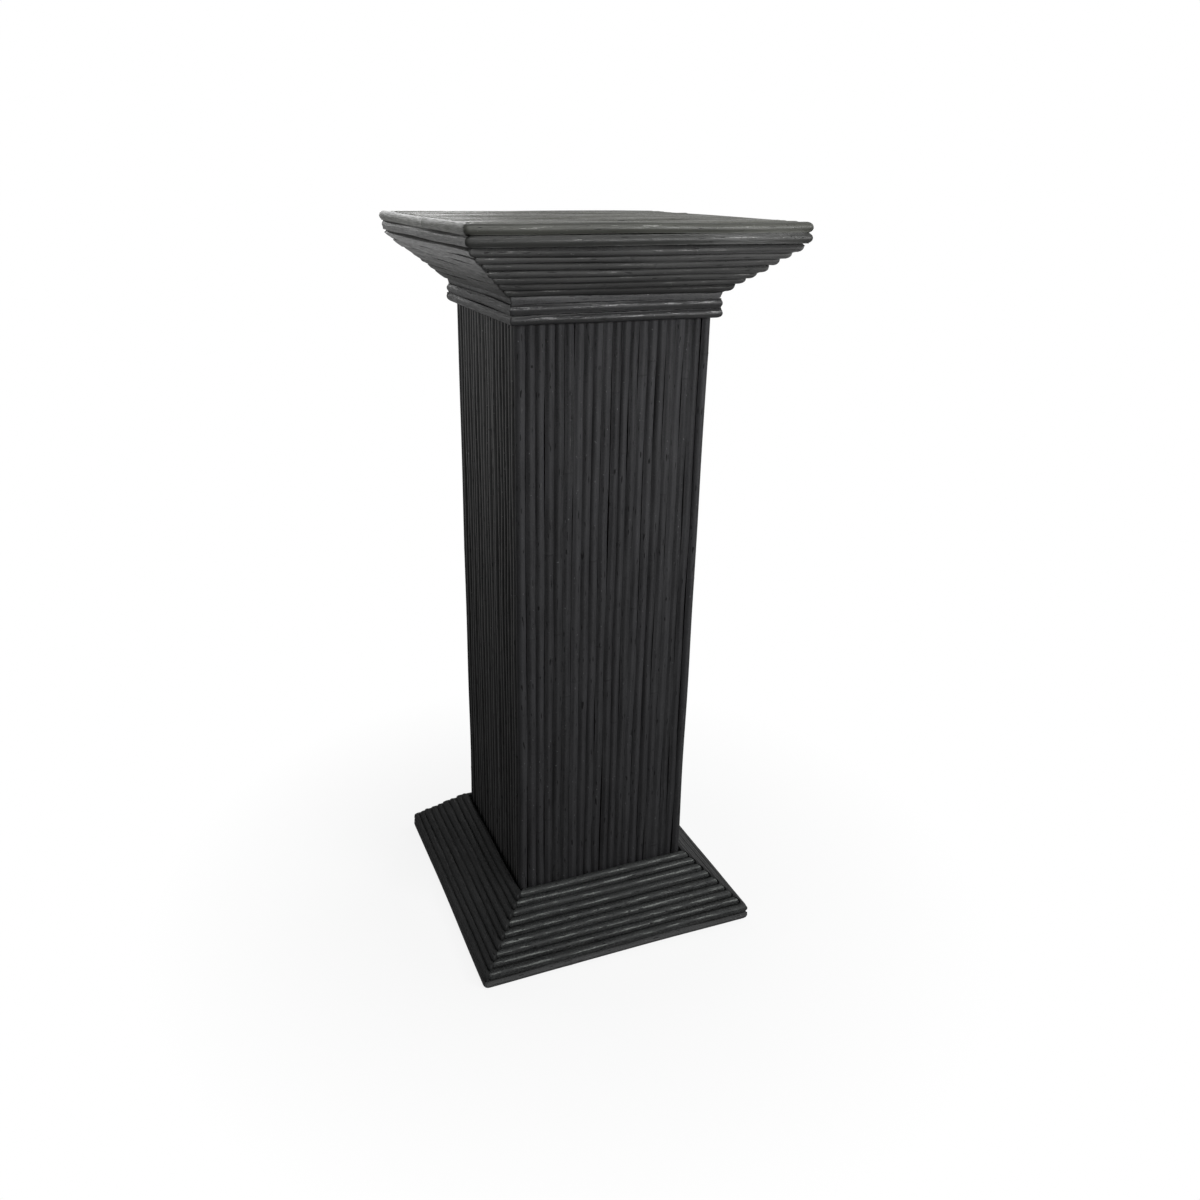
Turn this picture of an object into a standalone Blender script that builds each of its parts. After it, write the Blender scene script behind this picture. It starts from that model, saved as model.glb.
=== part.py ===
"""Display plinth: a square column on a flared base, under a flared capital, clad all over with round reeds.

Units are metres and +Z is up. The front faces -Y and the origin is the centre of the underside.
A profile point is (a, z): a is the distance from the vertical axis to one side, z is the height.
"""
import math

import bmesh
import bpy

# Clearances
SEAT_GAP = 0.0003
MITRE_GAP = 0.0003
FLOOR_CLEARANCE = 0.0003

# Overall sizes
OVERALL_HEIGHT = 0.9175
BASE_WIDTH = 0.385
TOP_WIDTH = 0.3875
SHAFT_WIDTH = 0.2352

# Reeds
REED_PRESS = 0.00022
SHAFT_REED_DIAMETER = 0.0115
COURSE_REED_DIAMETER = 0.0114
TOP_REED_DIAMETER = 0.0113
FLOOR_REED_DIAMETER = 0.0106
NECK_REED_DIAMETER = 0.0106
LIP_REED_DIAMETER = 0.0106
NECK_REED_FLAT = 0.0018
FRIEZE_REED_FLAT = 0.0028

# Slopes of the base and the capital
BASE_SLOPE = math.radians(44.3)
CAPITAL_SLOPE = math.radians(40)
FLOOR_REED_TUCK = 0.0011
LIP_REED_TUCK = 0.0062
NECK_LEDGE = 0.0136

# Boards that carry the reeds
CORE_BOARD_THICKNESS = 0.009
FLOOR_BOARD_THICKNESS = 0.010
TOP_BOARD_THICKNESS = 0.012
SKIRT_BOARD_THICKNESS = 0.006
CORNER_BLOCK_WIDTH = 0.020
BULKHEAD_THICKNESS = 0.012

# Facets of a round reed: an odd count leaves a flat facet on the crown
CROWN_FACETS = 7
BACK_FACETS = 3
END_FACETS = 3
SINGLE_REED_FACETS = 12
SMOOTH_ANGLE = math.radians(40)

SIDES = {"front": 0.0, "right": math.pi / 2, "back": math.pi, "left": -math.pi / 2}
LENGTHWISE_SIDES = ("front", "back")
CROSSWISE_SIDES = ("left", "right")

# Shaft, from its outer face inwards
shaft_half = SHAFT_WIDTH / 2
shaft_seat = shaft_half + SEAT_GAP
shaft_reed_back = shaft_half - SHAFT_REED_DIAMETER
core_half = shaft_reed_back - SEAT_GAP
core_inner_half = core_half - CORE_BOARD_THICKNESS
core_inner_seat = core_inner_half - SEAT_GAP

# Heights of what stands on the floor board and hangs under the top board
column_bottom = FLOOR_BOARD_THICKNESS + SEAT_GAP
top_board_top = OVERALL_HEIGHT - TOP_REED_DIAMETER - SEAT_GAP
top_board_bottom = top_board_top - TOP_BOARD_THICKNESS
column_top = top_board_bottom - SEAT_GAP

# Base: the floor reed, then the lowest and the highest sloping course
course_radius = COURSE_REED_DIAMETER / 2
floor_reed_radius = FLOOR_REED_DIAMETER / 2
floor_reed_a = BASE_WIDTH / 2 - floor_reed_radius
floor_reed_z = FLOOR_CLEARANCE + floor_reed_radius
floor_board_half = floor_reed_a - floor_reed_radius - SEAT_GAP
base_low_a = floor_reed_a - FLOOR_REED_TUCK
base_low_z = floor_reed_z + math.sqrt(
    (floor_reed_radius + SEAT_GAP + course_radius) ** 2 - FLOOR_REED_TUCK**2
)
base_high_a = shaft_seat + course_radius
base_run = base_low_a - base_high_a

# Capital: the two lip reeds, then the highest and the lowest sloping course
lip_radius = LIP_REED_DIAMETER / 2
lip_a = TOP_WIDTH / 2 - lip_radius
lip_upper_z = OVERALL_HEIGHT - lip_radius
lip_lower_z = lip_upper_z - LIP_REED_DIAMETER - SEAT_GAP
top_half = lip_a - lip_radius - SEAT_GAP
capital_high_a = lip_a - LIP_REED_TUCK
capital_high_z = lip_lower_z - math.sqrt(
    (lip_radius + SEAT_GAP + course_radius) ** 2 - LIP_REED_TUCK**2
)
capital_low_a = shaft_half + NECK_LEDGE
capital_run = capital_high_a - capital_low_a
capital_low_z = capital_high_z - capital_run * math.tan(CAPITAL_SLOPE)


def capital_seat(a, depth):
    """Height, at distance a, of the plane that lies depth behind the centres of the capital's courses."""
    return capital_low_z + (a - capital_low_a) * math.tan(CAPITAL_SLOPE) + depth / math.cos(CAPITAL_SLOPE)


def capital_seat_a(z, depth):
    """Distance from the axis, at height z, of the same plane."""
    rise = z - capital_low_z - depth / math.cos(CAPITAL_SLOPE)
    return capital_low_a + rise / math.tan(CAPITAL_SLOPE)


def base_seat(a, depth):
    """Height, at distance a, of the plane that lies depth behind the centres of the base's courses."""
    return base_low_z + (base_low_a - a) * math.tan(BASE_SLOPE) - depth / math.cos(BASE_SLOPE)


def base_seat_a(z, depth):
    """Distance from the axis, at height z, of the same plane."""
    rise = z - base_low_z + depth / math.cos(BASE_SLOPE)
    return base_low_a - rise / math.tan(BASE_SLOPE)


skirt_face = course_radius + SEAT_GAP
skirt_back = skirt_face + SKIRT_BOARD_THICKNESS

# Neck: three reeds stacked under the capital's skirt, flattened where they lie on the shaft
neck_radius = NECK_REED_DIAMETER / 2
frieze_z = capital_seat(shaft_seat, skirt_face) - SEAT_GAP - neck_radius
neck_upper_z = frieze_z - NECK_REED_DIAMETER - SEAT_GAP
neck_lower_z = neck_upper_z - NECK_REED_DIAMETER - SEAT_GAP


def clear_scene():
    for obj in list(bpy.data.objects):
        bpy.data.objects.remove(obj, do_unlink=True)


def finish_material(name, colour, roughness):
    """A painted or bare timber finish."""
    material = bpy.data.materials.new(name)
    material.use_nodes = True
    shader = material.node_tree.nodes["Principled BSDF"]
    shader.inputs["Base Color"].default_value = (*colour, 1.0)
    shader.inputs["Roughness"].default_value = roughness
    shader.inputs["Metallic"].default_value = 0.0
    material.diffuse_color = (*colour, 1.0)
    return material


def mesh_from_rings(name, rings, round_form):
    """A closed mesh that joins rings of equal length one after the other and caps the first and the last."""
    shape = bmesh.new()
    loops = [[shape.verts.new(point) for point in ring] for ring in rings]
    count = len(rings[0])
    for lower, upper in zip(loops, loops[1:]):
        for i in range(count):
            j = (i + 1) % count
            shape.faces.new((lower[i], lower[j], upper[j], upper[i]))
    shape.faces.new(list(reversed(loops[0])))
    shape.faces.new(loops[-1])
    bmesh.ops.recalc_face_normals(shape, faces=shape.faces)
    mesh = bpy.data.meshes.new(name)
    shape.to_mesh(mesh)
    shape.free()
    if round_form:
        mesh.shade_smooth()
        mesh.set_sharp_from_angle(angle=SMOOTH_ANGLE)
    return mesh


def place(name, mesh, material, parent, turn=0.0):
    """One piece of the plinth, turned about the vertical axis to its side."""
    if not mesh.materials:
        mesh.materials.append(material)
    obj = bpy.data.objects.new(name, mesh)
    obj.rotation_euler = (0.0, 0.0, turn)
    obj.parent = parent
    bpy.context.scene.collection.objects.link(obj)
    return obj


def place_on_sides(name, mesh, material, parent, sides):
    for side in sides:
        place(f"{name}_{side}", mesh, material, parent, SIDES[side])


def mitred(name, profile, round_form):
    """A length along the front whose ends are cut on the corner diagonals. The profile lists (a, z)."""
    left = [(-(a - MITRE_GAP), -a, z) for a, z in profile]
    right = [(a - MITRE_GAP, -a, z) for a, z in profile]
    return mesh_from_rings(name, [left, right], round_form)


def upright(name, outline, bottom, top, round_form):
    """A prism that stands on its outline of (x, y) points."""
    lower = [(x, y, bottom) for x, y in outline]
    upper = [(x, y, top) for x, y in outline]
    return mesh_from_rings(name, [lower, upper], round_form)


def rectangle(low_x, low_y, high_x, high_y):
    return [(low_x, low_y), (high_x, low_y), (high_x, high_y), (low_x, high_y)]


def arc(start, end, facets):
    """Angles from start to end, both included."""
    return [start + (end - start) * i / facets for i in range(facets + 1)]


def reeds_between(length, diameter):
    """Number of steps that lays reeds side by side over a length, each pressed a little into the next."""
    return max(1, math.ceil(length / (diameter - REED_PRESS) - 1e-6))


def reed_row(length, diameter, steps):
    """Outline (along, out) of a row of round reeds whose first and last centres lie a length apart.

    Neighbours flatten each other along a narrow line of contact, so the row is one body. Each reed has
    a flat facet on its crown, which faces out, and another on its back.
    """
    pitch = length / steps
    radius = diameter / 2
    contact = math.acos(pitch / diameter)
    crown = arc(math.pi - contact, contact, CROWN_FACETS)
    back = arc(-contact, contact - math.pi, BACK_FACETS)
    far_end = arc(contact, -contact, END_FACETS)
    near_end = arc(contact - math.pi, -contact - math.pi, END_FACETS)
    crown_reach = radius / math.cos((math.pi - 2 * contact) / (2 * CROWN_FACETS))
    back_reach = radius / math.cos((math.pi - 2 * contact) / (2 * BACK_FACETS))

    def points(centre, angles, reach):
        return [(centre + reach * math.cos(t), reach * math.sin(t)) for t in angles]

    def joint(centre, side):
        height = radius * math.sin(contact)
        return (centre, side * height)

    outline = []
    for i in range(steps + 1):
        outline.append(joint((i - 0.5) * pitch, 1))
        outline += points(i * pitch, crown[1:-1], crown_reach)
    outline.append(joint((steps + 0.5) * pitch, 1))
    outline += points(length, far_end[1:-1], radius)
    for i in range(steps, -1, -1):
        outline.append(joint((i + 0.5) * pitch, -1))
        outline += points(i * pitch, back[1:-1], back_reach)
    outline.append(joint(-0.5 * pitch, -1))
    outline += points(0.0, near_end[1:-1], radius)
    return outline


def single_reed(centre_a, centre_z, diameter, flat=0.0):
    """Profile of one round reed, with facets square to the sides and an optional flat on its back."""
    half_facet = math.pi / SINGLE_REED_FACETS
    reach = diameter / 2 / math.cos(half_facet)
    back = centre_a - diameter / 2 + flat
    profile = []
    for i in range(SINGLE_REED_FACETS):
        angle = half_facet * (2 * i + 1)
        a = centre_a + reach * math.cos(angle)
        z = centre_z + reach * math.sin(angle)
        profile.append((a, z))
    return flattened(profile, back) if flat else profile


def flattened(profile, limit):
    """The part of a convex profile that lies beyond a limit of a."""
    kept = []
    for (a0, z0), (a1, z1) in zip(profile, profile[1:] + profile[:1]):
        if a0 >= limit:
            kept.append((a0, z0))
        if (a0 >= limit) != (a1 >= limit):
            share = (limit - a0) / (a1 - a0)
            kept.append((limit, z0 + share * (z1 - z0)))
    return kept


def build_core(parent, ply, pine):
    """The box column: four boards, four corner blocks and a bulkhead at half height."""
    wide = rectangle(-core_half, -core_half, core_half, -core_inner_half)
    narrow = rectangle(-core_inner_seat, -core_half, core_inner_seat, -core_inner_half)
    wide_board = upright("core_board_wide", wide, column_bottom, column_top, False)
    narrow_board = upright("core_board_narrow", narrow, column_bottom, column_top, False)
    place_on_sides("core_board", wide_board, ply, parent, LENGTHWISE_SIDES)
    place_on_sides("core_board", narrow_board, ply, parent, CROSSWISE_SIDES)

    block_inner = core_inner_seat - CORNER_BLOCK_WIDTH
    corner = rectangle(-core_inner_seat, -core_inner_seat, -block_inner, -block_inner)
    block = upright("corner_block", corner, column_bottom, column_top, False)
    names = ("front_right", "back_right", "back_left", "front_left")
    for name, turn in zip(names, (math.pi / 2, math.pi, -math.pi / 2, 0.0)):
        place(f"corner_block_{name}", block, pine, parent, turn)

    notch = block_inner - SEAT_GAP
    quarter = [(-notch, -core_inner_seat), (notch, -core_inner_seat), (notch, -notch)]
    outline = []
    for _ in SIDES:
        outline += quarter
        quarter = [(-y, x) for x, y in quarter]
    low = (column_bottom + column_top - BULKHEAD_THICKNESS) / 2
    bulkhead = upright("core_bulkhead", outline, low, low + BULKHEAD_THICKNESS, False)
    place("core_bulkhead", bulkhead, ply, parent)


def build_shaft_reeds(parent, finish):
    """Upright reeds. The front and back rows hold the corner reeds, and the side rows stand between them."""
    centre = -(shaft_half - SHAFT_REED_DIAMETER / 2)
    long_length = SHAFT_WIDTH - SHAFT_REED_DIAMETER
    short_length = 2 * (shaft_reed_back - SEAT_GAP) - SHAFT_REED_DIAMETER
    for sides, length in ((LENGTHWISE_SIDES, long_length), (CROSSWISE_SIDES, short_length)):
        row = reed_row(length, SHAFT_REED_DIAMETER, reeds_between(length, SHAFT_REED_DIAMETER))
        outline = [(along - length / 2, centre - out) for along, out in row]
        mesh = upright(f"shaft_reeds_{sides[0]}", outline, column_bottom, column_top, True)
        place_on_sides("shaft_reeds", mesh, finish, parent, sides)


def build_slope_reeds(name, parent, finish, start, slope, run, out_sign):
    """Mitred courses that climb inwards (base) or outwards (capital) from their lowest centre."""
    length = run / math.cos(slope)
    row = reed_row(length, COURSE_REED_DIAMETER, reeds_between(length, COURSE_REED_DIAMETER))
    start_a, start_z = start
    profile = []
    for along, out in row:
        a = start_a - out_sign * along * math.cos(slope) + out * math.sin(slope)
        z = start_z + along * math.sin(slope) + out_sign * out * math.cos(slope)
        profile.append((a, z))
    place_on_sides(name, mitred(name, profile, True), finish, parent, SIDES)


def build_single_reed(name, parent, finish, profile):
    place_on_sides(name, mitred(name, profile, True), finish, parent, SIDES)


def build_base(parent, finish, ply):
    floor = rectangle(-floor_board_half, -floor_board_half, floor_board_half, floor_board_half)
    place("floor_board", upright("floor_board", floor, 0.0, FLOOR_BOARD_THICKNESS, False), ply, parent)

    skirt = [
        (floor_board_half, column_bottom),
        (floor_board_half, base_seat(floor_board_half, skirt_face)),
        (shaft_seat, base_seat(shaft_seat, skirt_face)),
        (shaft_seat, base_seat(shaft_seat, skirt_back)),
        (base_seat_a(column_bottom, skirt_back), column_bottom),
    ]
    place_on_sides("base_skirt_board", mitred("base_skirt_board", skirt, False), ply, parent, SIDES)
    build_slope_reeds("base_reeds", parent, finish, (base_low_a, base_low_z), BASE_SLOPE, base_run, 1)
    floor_reed = single_reed(floor_reed_a, floor_reed_z, FLOOR_REED_DIAMETER)
    build_single_reed("base_floor_reed", parent, finish, floor_reed)


def build_neck(parent, finish):
    reeds = (
        ("neck_reed_lower", neck_lower_z, NECK_REED_FLAT),
        ("neck_reed_upper", neck_upper_z, NECK_REED_FLAT),
        ("frieze_reed", frieze_z, FRIEZE_REED_FLAT),
    )
    for name, z, flat in reeds:
        profile = single_reed(shaft_seat + neck_radius - flat, z, NECK_REED_DIAMETER, flat)
        build_single_reed(name, parent, finish, profile)


def build_capital(parent, finish, ply):
    skirt = [
        (shaft_seat, capital_seat(shaft_seat, skirt_face)),
        (capital_seat_a(column_top, skirt_face), column_top),
        (capital_seat_a(column_top, skirt_back), column_top),
        (shaft_seat, capital_seat(shaft_seat, skirt_back)),
    ]
    place_on_sides("capital_skirt_board", mitred("capital_skirt_board", skirt, False), ply, parent, SIDES)
    start = (capital_low_a, capital_low_z)
    build_slope_reeds("capital_reeds", parent, finish, start, CAPITAL_SLOPE, capital_run, -1)
    for name, z in (("lip_reed_lower", lip_lower_z), ("lip_reed_upper", lip_upper_z)):
        build_single_reed(name, parent, finish, single_reed(lip_a, z, LIP_REED_DIAMETER))


def build_top(parent, finish, ply):
    """The top board, bevelled to carry the highest course of the capital, and the reeds that cover it."""
    bevel_top = capital_seat(top_half, skirt_face)
    levels = (
        (capital_seat_a(top_board_bottom, skirt_face), top_board_bottom),
        (top_half, bevel_top),
        (top_half, top_board_top),
    )
    rings = [[(x, y, z) for x, y in rectangle(-half, -half, half, half)] for half, z in levels]
    place("top_board", mesh_from_rings("top_board", rings, False), ply, parent)

    length = 2 * top_half - TOP_REED_DIAMETER
    steps = 2 * math.ceil(reeds_between(length, TOP_REED_DIAMETER) / 2)
    row = reed_row(length, TOP_REED_DIAMETER, steps)
    centre_z = OVERALL_HEIGHT - TOP_REED_DIAMETER / 2
    ends = [
        [(x, along - length / 2, centre_z + out) for along, out in row] for x in (-top_half, top_half)
    ]
    place("top_reeds", mesh_from_rings("top_reeds", ends, True), finish, parent)


def main():
    clear_scene()
    plinth = bpy.data.objects.new("display_plinth", None)
    bpy.context.scene.collection.objects.link(plinth)
    black_reed = finish_material("black_painted_reed", (0.028, 0.028, 0.028), 0.45)
    top_reed = finish_material("worn_black_top_reed", (0.040, 0.041, 0.039), 0.40)
    ply = finish_material("bare_plywood", (0.46, 0.33, 0.20), 0.75)
    pine = finish_material("bare_pine", (0.55, 0.40, 0.24), 0.80)
    build_core(plinth, ply, pine)
    build_shaft_reeds(plinth, black_reed)
    build_base(plinth, black_reed, ply)
    build_neck(plinth, black_reed)
    build_capital(plinth, black_reed, ply)
    build_top(plinth, top_reed, ply)


main()
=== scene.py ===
"""Looks of the display plinth: every reed is its own uneven, painted stick, laid where the solids have it.

Units are metres. A profile point is (a, z): a is the distance from the vertical axis to one side.
Pieces are made for the front, which faces -Y, and turned about the axis for the other sides.
A reed's own axes are along, p and q: p and q lie across it, and the to_front functions place all three.
"""
import math
from typing import NamedTuple

import bpy
import numpy as np
from mathutils import Matrix, Vector


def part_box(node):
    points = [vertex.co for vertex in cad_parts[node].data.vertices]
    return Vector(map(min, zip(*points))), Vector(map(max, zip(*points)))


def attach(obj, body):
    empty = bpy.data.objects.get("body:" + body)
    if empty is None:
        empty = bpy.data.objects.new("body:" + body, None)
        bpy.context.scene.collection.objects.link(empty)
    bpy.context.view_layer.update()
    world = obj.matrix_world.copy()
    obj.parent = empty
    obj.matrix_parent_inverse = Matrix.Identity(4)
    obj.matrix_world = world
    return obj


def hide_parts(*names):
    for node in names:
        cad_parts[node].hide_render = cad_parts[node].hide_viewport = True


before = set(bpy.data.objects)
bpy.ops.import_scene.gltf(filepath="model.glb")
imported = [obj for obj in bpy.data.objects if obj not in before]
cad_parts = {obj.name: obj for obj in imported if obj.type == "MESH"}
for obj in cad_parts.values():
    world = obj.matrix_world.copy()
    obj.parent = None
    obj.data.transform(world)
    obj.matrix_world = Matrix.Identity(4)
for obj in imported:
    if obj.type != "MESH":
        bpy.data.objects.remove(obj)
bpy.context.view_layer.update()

# Turn of each side about the vertical axis, in degrees
SIDES = {"front": 0.0, "right": 90.0, "back": 180.0, "left": -90.0}


def on_all(value):
    """The same value for the four sides."""
    return dict.fromkeys(SIDES, value)


def by_pairs(lengthwise, crosswise):
    """One value for the front and the back, and one for the right and the left."""
    return {"front": lengthwise, "right": crosswise, "back": lengthwise, "left": crosswise}


# Rows of reeds, as counted on the photograph, apart from the top's, which are a guess
SHAFT_REEDS = by_pairs(21, 19)
BASE_COURSES = 9
CAPITAL_COURSES = 7
TOP_REEDS = 33
COURSE_RADIUS = 0.0057

# Seeds of the unevenness
SHAFT_SEEDS = {"front": 211, "back": 391, "left": 119, "right": 299}
TOP_SEED = 700

# Directions across a reed, as angles in its p, q plane
TOWARDS_P = 0.0
TOWARDS_Q = math.pi / 2

# Rings of points along a reed
REED_SIDES = 20
RING_STEP = 0.014
LEAST_RING_STEP = 0.00025
NODE_RING_OFFSETS = (-0.0090, -0.0035, -0.0014, -0.0005, 0.0005, 0.0014, 0.0035, 0.0090)
END_RING_SHARES = (0.0, 0.15, 0.4, 0.7, 1.0)
END_ROUND = 0.0040
CORNER_REACH = 0.0060
SHARP_ANGLE = math.radians(55)

# Unevenness of a reed: thickness and section as shares of its radius, place and bends in metres
DIAMETER_SPREAD = 0.045
TAPER_SPREAD = 0.018
OVAL_SPREAD = 0.016
LAY_SPREAD = 0.00022
BEND_SPREAD = 0.00035
BEND_LENGTH = 0.30

# Curves that wander: sums of waves, with lengths in shares of the curve's, over the usual height of the sum
WAVES = 3
WAVE_LENGTHS = (0.5, 1.6)
WAVES_HEIGHT = 1.7

# Nodes of a reed: a thin ring on a long, low swelling
FIRST_NODE = 0.02
NODE_SPACING = (0.22, 0.50)
NODE_STRENGTH = (0.4, 1.2)
NODE_HEIGHT = 0.00022
NODE_WIDTH = 0.0010
NODE_SWELL = 0.00012
NODE_SWELL_WIDTH = 0.009


class End(NamedTuple):
    """What happens at the first or the last end of a reed.

    The first end of a level reed is the left one, seen from outside. That of an upright reed is its foot.
    shrink is the share of its size that the reed loses, and corner the radius in plan with which it turns.
    opening is how far the paint in its grooves draws back, as a share of its size, or builds up below zero.
    """

    shrink: float
    corner: float
    opening: float


# Ends of the rows, first and last, and how far from them the grooves open
PLAIN_ENDS = (End(0.22, 0.0, 0.0), End(0.22, 0.0, 0.0))
FLOOR_ENDS = on_all((End(0.0, 0.0070, -0.38), End(0.0, 0.0060, -0.38)))
LOW_COURSE_ENDS = on_all((End(0.0, 0.0060, 0.0), End(0.0, 0.0060, 0.0)))
BASE_ENDS = {
    "front": (End(0.02, 0.0030, 0.33), End(0.25, 0.0060, 0.66)),
    "right": (End(0.02, 0.0030, 0.33), End(0.25, 0.0060, 0.66)),
    "back": (End(0.02, 0.0030, 0.33), End(0.40, 0.0040, -0.20)),
    "left": (End(0.02, 0.0030, -0.20), End(0.25, 0.0060, 0.66)),
}
CAPITAL_ENDS = {
    "front": (End(0.04, 0.0030, 0.62), End(0.10, 0.0060, 0.66)),
    "right": (End(0.02, 0.0060, 0.45), End(0.10, 0.0060, 0.50)),
    "back": (End(0.02, 0.0060, 0.50), End(0.20, 0.0020, -0.15)),
    "left": (End(0.02, 0.0020, 0.0), End(0.10, 0.0, 0.0)),
}
LIP_ENDS = {
    "front": (End(0.03, 0.0050, 0.55), End(0.06, 0.0040, 0.50)),
    "right": (End(0.03, 0.0040, 0.45), End(0.06, 0.0050, 0.55)),
    "back": (End(0.03, 0.0050, 0.55), End(0.06, 0.0040, 0.10)),
    "left": (End(0.03, 0.0040, 0.10), End(0.06, 0.0050, 0.55)),
}
LIP_SEAT_ENDS = {
    "front": LIP_ENDS["front"],
    "right": LIP_ENDS["right"],
    "back": (End(0.03, 0.0050, 0.55), End(0.45, 0.0080, 0.0)),
    "left": (End(0.02, 0.0020, 0.0), End(0.06, 0.0, 0.0)),
}
NECK_ENDS = on_all((End(0.0, 0.0020, -0.10), End(0.02, 0.0020, -0.10)))
OPENING_LENGTH = 0.012

# Levels of the paint in the grooves beside a reed, as shares of its size above its middle
SHAFT_FILL = by_pairs((0.40, 0.78), (0.0, 0.1))
BASE_FILL = {"front": 0.08, "right": 0.60, "back": 0.08, "left": 0.40}
LOW_COURSE_FILL = on_all(0.15)
FLOOR_REED_FILL = on_all(0.50)
NECK_FILL = on_all(0.62)
FRIEZE_FILL = on_all(0.70)
CAPITAL_FILL = {**on_all(0.66), "left": 0.92}
LIP_FILL = by_pairs(0.60, 0.55)
TOP_FILL = 0.60
GROOVE_FILL_SPREAD = 0.10
GROOVE_SOFTNESS = 0.10
FILLED_TURN = math.radians(100)

# A side without a neighbour has no groove: its level lies far below, and its flank gets little of the
# painted shade of a grooved flank
NO_GROOVE = -10.0
OPEN_SIDE = on_all(NO_GROOVE)
OPEN_CREST = 0.55

# How much the levels of the paint rise from the first end of a reed to its last
EVEN = on_all(0.0)
THICKER = by_pairs(0.16, 0.0)

# Where round a reed its crest line lies, from its outward side towards its upper one
# There the paint is chipped and the painted highlights and glints sit, with painted shade on the flanks
# away from it
OUTWARD_CREST = 0.0
CAPITAL_CREST = math.radians(42)
BEAD_CREST = math.radians(18)

# How far reeds lie behind those of the solids
FLUSH = on_all(0.0)
CAPITAL_INSET = {**FLUSH, "left": 0.0020}
LIP_INSET = {**FLUSH, "left": 0.0036}

# How far both ends of the courses run past the corner diagonals, each for the lowest and the highest course
MITRE_LAP = 0.0003
MITRED = (MITRE_LAP, MITRE_LAP)
CAPITAL_LAPS = on_all((MITRED, MITRED))

# The joint at the front left corner of the base lies this far off its diagonal
JOINT_SHIFT = (0.0046, 0.0058)
BASE_LAPS = {
    **on_all((MITRED, MITRED)),
    "front": ([MITRE_LAP - shift for shift in JOINT_SHIFT], MITRED),
    "left": (MITRED, [MITRE_LAP + shift for shift in JOINT_SHIFT]),
}


class Flare(NamedTuple):
    """Mitred courses on the four sides. The lowest course has its own ends and its own lower groove."""

    node: str
    piece: str
    seed: int
    courses: int
    opens_upwards: bool
    crest_turn: float
    fill: dict
    low_fill: dict
    ends: dict
    low_ends: dict
    inset: dict
    thicker: dict
    laps: dict


BASE = Flare(
    node="base_reeds",
    piece="base_courses",
    seed=200,
    courses=BASE_COURSES,
    opens_upwards=False,
    crest_turn=OUTWARD_CREST,
    fill=BASE_FILL,
    low_fill=LOW_COURSE_FILL,
    ends=BASE_ENDS,
    low_ends=LOW_COURSE_ENDS,
    inset=FLUSH,
    thicker=EVEN,
    laps=BASE_LAPS,
)
CAPITAL = Flare(
    node="capital_reeds",
    piece="capital_courses",
    seed=300,
    courses=CAPITAL_COURSES,
    opens_upwards=True,
    crest_turn=CAPITAL_CREST,
    fill=CAPITAL_FILL,
    low_fill=CAPITAL_FILL,
    ends=CAPITAL_ENDS,
    low_ends=CAPITAL_ENDS,
    inset=CAPITAL_INSET,
    thicker=THICKER,
    laps=CAPITAL_LAPS,
)


class Bead(NamedTuple):
    """A single mitred reed on each of the four sides, with its grooves below and above."""

    node: str
    piece: str
    seed: int
    below: dict
    above: dict
    ends: dict = NECK_ENDS
    inset: dict = FLUSH
    thicker: dict = EVEN


BEADS = (
    Bead("base_floor_reed", "floor_reed", 400, OPEN_SIDE, FLOOR_REED_FILL, FLOOR_ENDS),
    Bead("neck_reed_lower", "neck_bead_lower", 420, OPEN_SIDE, NECK_FILL),
    Bead("neck_reed_upper", "neck_bead_upper", 440, NECK_FILL, NECK_FILL),
    Bead("frieze_reed", "frieze_bead", 460, FRIEZE_FILL, FRIEZE_FILL),
    Bead(
        "lip_reed_lower", "lip_bead_lower", 480, CAPITAL_FILL, LIP_FILL, LIP_SEAT_ENDS, LIP_INSET, THICKER
    ),
    Bead("lip_reed_upper", "lip_bead_upper", 500, LIP_FILL, OPEN_SIDE, LIP_ENDS, FLUSH, THICKER),
)


class Paint(NamedTuple):
    """Black paint over reeds.

    dark and light are the limits of its brushed tones, and worn is the colour of the painted glints on its
    crest.
    wear is how much of the crest has painted glints, and lift how much the rest of it gets a painted
    highlight.
    roughness is the middle of its range. speckle is the strength of the pale flecks.
    shade is the strength of the painted shade on the flanks, which fades out between the two values of
    line, the cosines of angles from the crest line.
    variety is how far the tones of two reeds can differ.
    grime is painted shade: the share of its colour that the lowest course of a flare loses. It is also
    rougher.
    """

    dark: tuple
    light: tuple
    glint_colour: tuple
    glint_share: float
    lift: float
    roughness: float
    specular: float
    speckle: float
    shade: float = 0.0
    variety: float = 0.18
    line: tuple = (0.30, 0.92)
    low_shade: float = 0.0


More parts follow.
